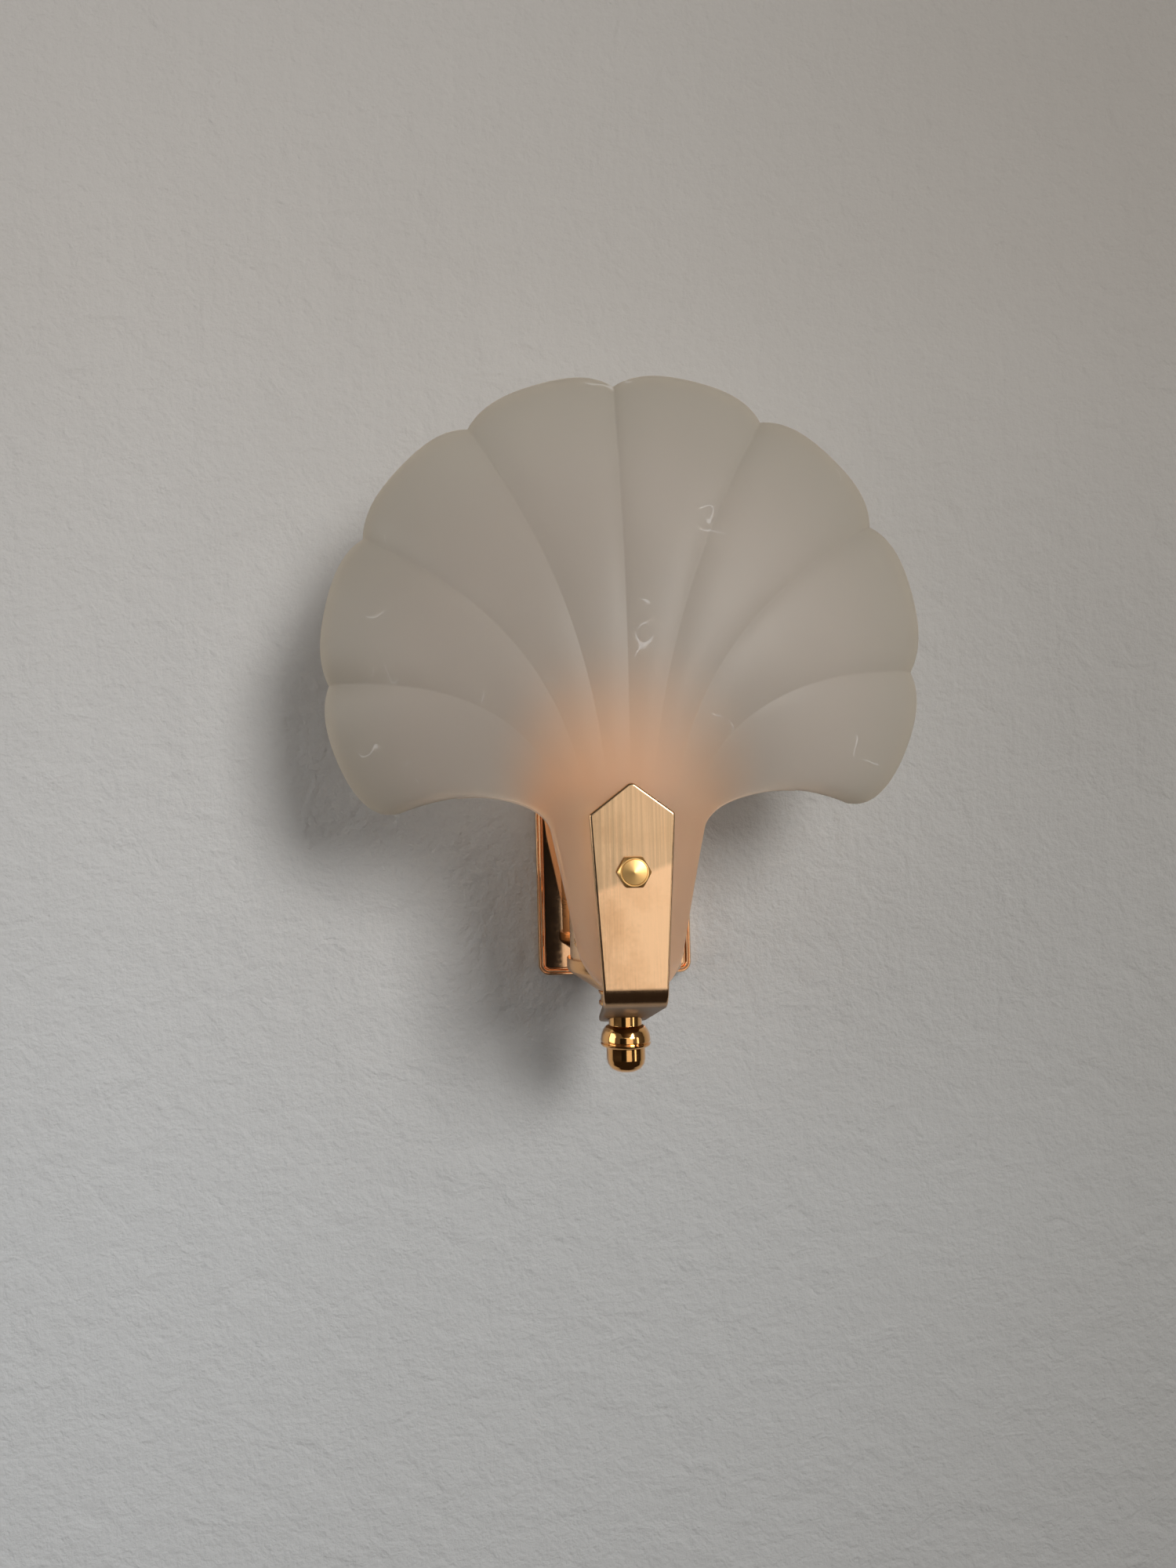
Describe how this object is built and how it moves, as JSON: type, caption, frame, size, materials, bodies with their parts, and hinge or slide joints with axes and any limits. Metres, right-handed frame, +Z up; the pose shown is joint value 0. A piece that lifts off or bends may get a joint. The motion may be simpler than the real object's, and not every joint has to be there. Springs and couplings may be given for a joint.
{
  "type": "wall sconce",
  "caption": "Wall sconce with a frosted fan-shell glass held by a bent strap in front of a candle-style lamp housing on a wall plate.",
  "frame": {"origin": "middle of the wall plate, on the wall's surface", "axes": "+Z up, -Y out from the wall into the room, +X to the right as seen from the room"},
  "size_m": [0.2039, 0.1019, 0.2408],
  "materials": {
    "polished_brass": "polished",
    "turned_brass": "satin, lacquered",
    "plate_brass": "dark mirror polish",
    "frosted_glass": "satin-etched on both sides",
    "zinc_steel": "bright zinc",
    "rubber_pad": "matt",
    "phenolic": "moulded",
    "nickel_shell": "nickel plated",
    "fibre": "paper fibre",
    "nylon": "matt"
  },
  "bodies": {
    "fixture": {"arm": "turned_brass", "arm_collar": "turned_brass", "arm_inner_nut": "zinc_steel", "arm_rear_nut": "zinc_steel", "backplate": "plate_brass", "cap_nuts": "turned_brass", "centre_contact": "turned_brass", "contact_rivet": "turned_brass", "cup": "turned_brass", "cup_nut": "zinc_steel", "earth_screw": "zinc_steel", "holder_ring": "phenolic", "housing": "turned_brass", "housing_screws": "turned_brass", "insulating_sleeve": "fibre", "lampholder_body": "phenolic", "lock_washer": "zinc_steel", "mounting_bar": "zinc_steel", "plate_studs": "zinc_steel", "screw_shell": "nickel_shell", "spacer": "polished_brass", "stud_nuts": "zinc_steel", "terminal_screws": "turned_brass", "threaded_rod": "zinc_steel", "wire_bushing": "nylon"},
    "shade": {"strap": "polished_brass", "shell_glass": "frosted_glass", "shell_bolt": "polished_brass", "front_pad": "rubber_pad", "rear_pad": "rubber_pad", "bolt_washer": "zinc_steel", "bolt_nut": "zinc_steel"},
    "finial": {"finial": "polished_brass"}
  },
  "joints": [
    {"name": "shade_swivel", "type": "hinge", "parent": "fixture", "child": "shade", "pos_m": [0, -0.051, 0], "axis": [0, 0, 1], "range_deg": [-30, 30]},
    {"name": "finial_turn", "type": "hinge", "parent": "fixture", "child": "finial", "pos_m": [0, -0.051, 0], "axis": [0, 0, 1], "continuous": true}
  ]
}
